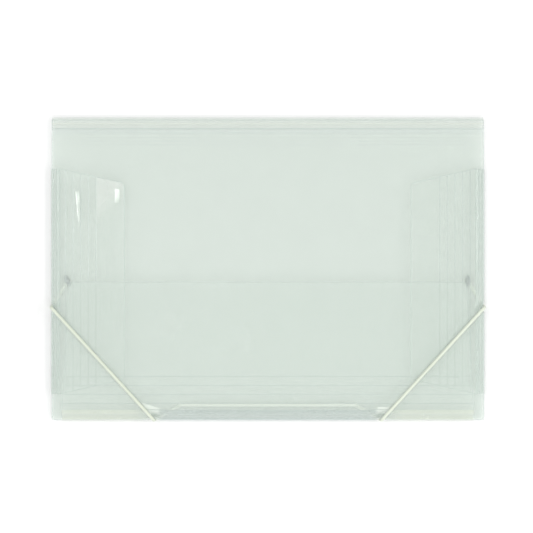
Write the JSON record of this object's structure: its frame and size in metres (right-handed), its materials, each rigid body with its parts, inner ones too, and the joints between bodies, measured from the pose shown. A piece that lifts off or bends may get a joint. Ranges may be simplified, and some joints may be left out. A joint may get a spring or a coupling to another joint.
{
  "type": "portfolio case",
  "caption": "Flat translucent document case with a hinged front cover, folding gusseted flaps on its open sides and an elastic cord closure over the lower corners.",
  "frame": {"origin": "middle of the bounding box on the plane the closed case lies on", "axes": "+X along the spine to the right as the front cover is read, +Y towards the spine, +Z out of the front cover"},
  "size_m": [0.3314, 0.2318, 0.0145],
  "materials": {
    "frosted_sheet": "translucent frosted polypropylene sheet, finely embossed, satin",
    "fold_line": "scored and folded translucent sheet, polished along the crease",
    "elastic_cord": "fine braided round elastic, pale",
    "tag_metal": "plain rolled steel, slightly dull"
  },
  "bodies": {
    "back": {"back_cover": "frosted_sheet", "spine_rear_fold": "fold_line", "left_rear_fold": "fold_line", "right_rear_fold": "fold_line", "bottom_rear_fold": "fold_line", "elastic_inner_run": "elastic_cord", "left_end_lead": "elastic_cord", "right_end_lead": "elastic_cord", "left_bottom_lead": "elastic_cord", "right_bottom_lead": "elastic_cord", "left_end_tag": "tag_metal", "right_end_tag": "tag_metal"},
    "spine": {"spine_panel": "frosted_sheet", "spine_cover_fold": "fold_line"},
    "cover": {"front_cover": "frosted_sheet"},
    "left_gusset": {"left_gusset": "frosted_sheet", "left_shoulder_fold": "fold_line"},
    "left_flap": {"left_flap": "frosted_sheet"},
    "right_gusset": {"right_gusset": "frosted_sheet", "right_shoulder_fold": "fold_line"},
    "right_flap": {"right_flap": "frosted_sheet"},
    "bottom_gusset": {"bottom_gusset": "frosted_sheet", "bottom_shoulder_fold": "fold_line"},
    "bottom_flap": {"bottom_flap": "frosted_sheet"},
    "left_strap": {"left_corner_strap": "elastic_cord"},
    "right_strap": {"right_corner_strap": "elastic_cord"}
  },
  "joints": [
    {"name": "spine_fold", "type": "hinge", "parent": "back", "child": "spine", "pos_m": [0, 0.1153, 0.00316], "axis": [-1, 0, 0], "range_deg": [0, 140]},
    {"name": "cover_fold", "type": "hinge", "parent": "spine", "child": "cover", "pos_m": [0, 0.10517, 0.01166], "axis": [-1, 0, 0], "range_deg": [0, 45]},
    {"name": "left_gusset_fold", "type": "hinge", "parent": "back", "child": "left_gusset", "pos_m": [-0.1645, 0.0003, 0.00316], "axis": [0, -1, 0], "range_deg": [0, 70]},
    {"name": "left_flap_fold", "type": "hinge", "parent": "left_gusset", "child": "left_flap", "pos_m": [-0.1595, 0.0003, 0.00956], "axis": [0, -1, 0], "range_deg": [0, 30]},
    {"name": "right_gusset_fold", "type": "hinge", "parent": "back", "child": "right_gusset", "pos_m": [0.1645, 0.0003, 0.00316], "axis": [0, 1, 0], "range_deg": [0, 70]},
    {"name": "right_flap_fold", "type": "hinge", "parent": "right_gusset", "child": "right_flap", "pos_m": [0.1595, 0.0003, 0.00956], "axis": [0, 1, 0], "range_deg": [0, 30]},
    {"name": "bottom_gusset_fold", "type": "hinge", "parent": "back", "child": "bottom_gusset", "pos_m": [0, -0.1147, 0.00316], "axis": [1, 0, 0], "range_deg": [0, 134]},
    {"name": "bottom_flap_fold", "type": "hinge", "parent": "bottom_gusset", "child": "bottom_flap", "pos_m": [0, -0.10867, 0.01061], "axis": [1, 0, 0], "range_deg": [0, 56]},
    {"name": "left_strap_pull", "type": "slide", "parent": "back", "child": "left_strap", "axis": [-0.7281, -0.6644, -0.1687], "range_m": [0, 0.07501], "deforming": ["left_corner_strap"]},
    {"name": "right_strap_pull", "type": "slide", "parent": "back", "child": "right_strap", "axis": [0.7281, -0.6644, -0.1687], "range_m": [0, 0.07501], "deforming": ["right_corner_strap"]}
  ],
  "couplings": [
    {"joint": "cover_fold", "follows": "spine_fold", "ratio": 0.28571},
    {"joint": "left_gusset_fold", "follows": "spine_fold", "ratio": 0.46428},
    {"joint": "left_flap_fold", "follows": "spine_fold", "ratio": 0.17857},
    {"joint": "right_gusset_fold", "follows": "spine_fold", "ratio": 0.46428},
    {"joint": "right_flap_fold", "follows": "spine_fold", "ratio": 0.17857},
    {"joint": "bottom_gusset_fold", "follows": "spine_fold", "ratio": 0.92142},
    {"joint": "bottom_flap_fold", "follows": "spine_fold", "ratio": 0.36428},
    {"joint": "left_strap_pull", "follows": "spine_fold", "m_per_rad": 0.02906},
    {"joint": "right_strap_pull", "follows": "spine_fold", "m_per_rad": 0.02906}
  ]
}
